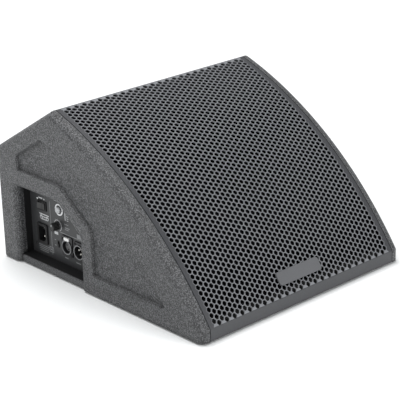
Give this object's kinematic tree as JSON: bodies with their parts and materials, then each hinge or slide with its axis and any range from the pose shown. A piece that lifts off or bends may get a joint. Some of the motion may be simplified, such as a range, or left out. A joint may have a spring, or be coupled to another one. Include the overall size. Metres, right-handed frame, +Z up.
{
  "type": "stage monitor wedge",
  "caption": "Active wedge-shaped floor monitor loudspeaker with a curved perforated grille, coaxial driver, recessed connector bay, carrying handle and pole cup.",
  "frame": {"origin": "middle of the cabinet's footprint, on the floor plane under the rubber feet", "axes": "+Z up, the grille faces -Y and up, +Y towards the upright rear wall, the connector bay opens towards -X and the handle towards +X"},
  "size_m": [0.41, 0.46, 0.2675],
  "materials": {
    "cabinet_coat": "fine pebbled dark grey textured coating",
    "black_board": "black painted board",
    "bare_wood": "bare timber",
    "black_plastic": "moulded matt",
    "wadding": "fibre wadding",
    "foot_rubber": "matt",
    "zinc_screw": "zinc plated",
    "black_screw": "black oxide",
    "grille_steel": "dark grey powder coat",
    "black_foam": "open cell",
    "badge_metal": "brushed dark grey",
    "black_steel": "satin",
    "plated_steel": "plated",
    "ferrite": "sintered",
    "copper_coil": "enamelled wire",
    "paper_cone": "pressed pulp",
    "doped_cloth": "doped cloth",
    "spider_cloth": "varnished cloth",
    "plate_black": "satin black with white print",
    "board_green": "solder mask",
    "pin_brass": "plated",
    "heatsink_alloy": "extruded",
    "rocker_plastic": "satin",
    "ring_white": "white ring",
    "knob_grey": "satin grey",
    "knob_black": "satin",
    "led_lens": "clear lens",
    "socket_black": "black",
    "insert_plastic": "moulded",
    "latch_metal": "nickel"
  },
  "bodies": {
    "cabinet": {"left_side_panel": "cabinet_coat", "right_side_panel": "cabinet_coat", "bottom_panel": "cabinet_coat", "rear_panel": "cabinet_coat", "rear_slope_panel": "cabinet_coat", "front_baffle": "black_board", "port_tubes": "black_plastic", "rear_brace": "bare_wood", "damping_wadding": "wadding", "recess_frame": "black_plastic", "rubber_feet": "foot_rubber", "foot_screws": "zinc_screw", "handle_cup": "black_plastic", "handle_grip": "black_plastic", "handle_screws": "black_screw", "pole_cup": "black_plastic", "pole_cup_screws": "black_screw", "grille": "grille_steel", "grille_foam": "black_foam", "grille_screws": "black_screw", "badge": "badge_metal", "basket": "black_steel", "top_plate": "plated_steel", "magnet_ring": "ferrite", "back_plate": "plated_steel", "compression_driver": "black_steel", "horn": "black_plastic", "surround": "doped_cloth", "spider": "spider_cloth", "gasket": "black_foam", "driver_screws": "black_screw", "connector_plate": "plate_black", "plate_screws": "black_screw", "amplifier_housing": "plated_steel", "amplifier_board": "board_green", "board_spacers": "pin_brass", "power_supply": "black_plastic", "heatsink": "heatsink_alloy", "mains_inlet": "black_plastic", "mains_pins": "pin_brass", "power_switch_frame": "black_plastic", "preset_encoder": "plated_steel", "preset_ring": "ring_white", "volume_control": "plated_steel", "status_led": "led_lens", "ground_lift_frame": "black_plastic", "xlr_input_shell": "socket_black", "xlr_input_insert": "insert_plastic", "xlr_link_shell": "socket_black", "xlr_link_pins": "pin_brass", "xlr_screws": "black_screw"},
    "rocker": {"power_rocker": "rocker_plastic"},
    "preset_dial": {"preset_knob": "knob_grey"},
    "volume_dial": {"volume_knob": "knob_black"},
    "input_latch": {"xlr_latch": "latch_metal"},
    "lift_slider": {"ground_lift_slider": "knob_black"},
    "cone_assembly": {"cone": "paper_cone", "voice_coil": "copper_coil"}
  },
  "joints": [
    {"name": "power_rocker_tilt", "type": "hinge", "parent": "cabinet", "child": "rocker", "pos_m": [-0.178, 0.1568, 0.097], "axis": [0, 0, -1], "range_deg": [0, 16]},
    {"name": "preset_turn", "type": "hinge", "parent": "cabinet", "child": "preset_dial", "pos_m": [-0.178, 0.1141, 0.1014], "axis": [-1, 0, 0], "continuous": true},
    {"name": "volume_turn", "type": "hinge", "parent": "cabinet", "child": "volume_dial", "pos_m": [-0.178, 0.1201, 0.0739], "axis": [-1, 0, 0], "range_deg": [-150, 150]},
    {"name": "latch_press", "type": "slide", "parent": "cabinet", "child": "input_latch", "axis": [1, 0, 0], "range_m": [0, 0.0018], "stiffness_N_per_m": 300},
    {"name": "ground_lift_slide", "type": "slide", "parent": "cabinet", "child": "lift_slider", "axis": [0, 0, 1], "range_m": [0, 0.004]},
    {"name": "cone_excursion", "type": "slide", "parent": "cabinet", "child": "cone_assembly", "axis": [0, -0.6083, 0.7937], "range_m": [-0.004, 0.004], "stiffness_N_per_m": 4000, "deforming": ["surround", "spider"]}
  ]
}
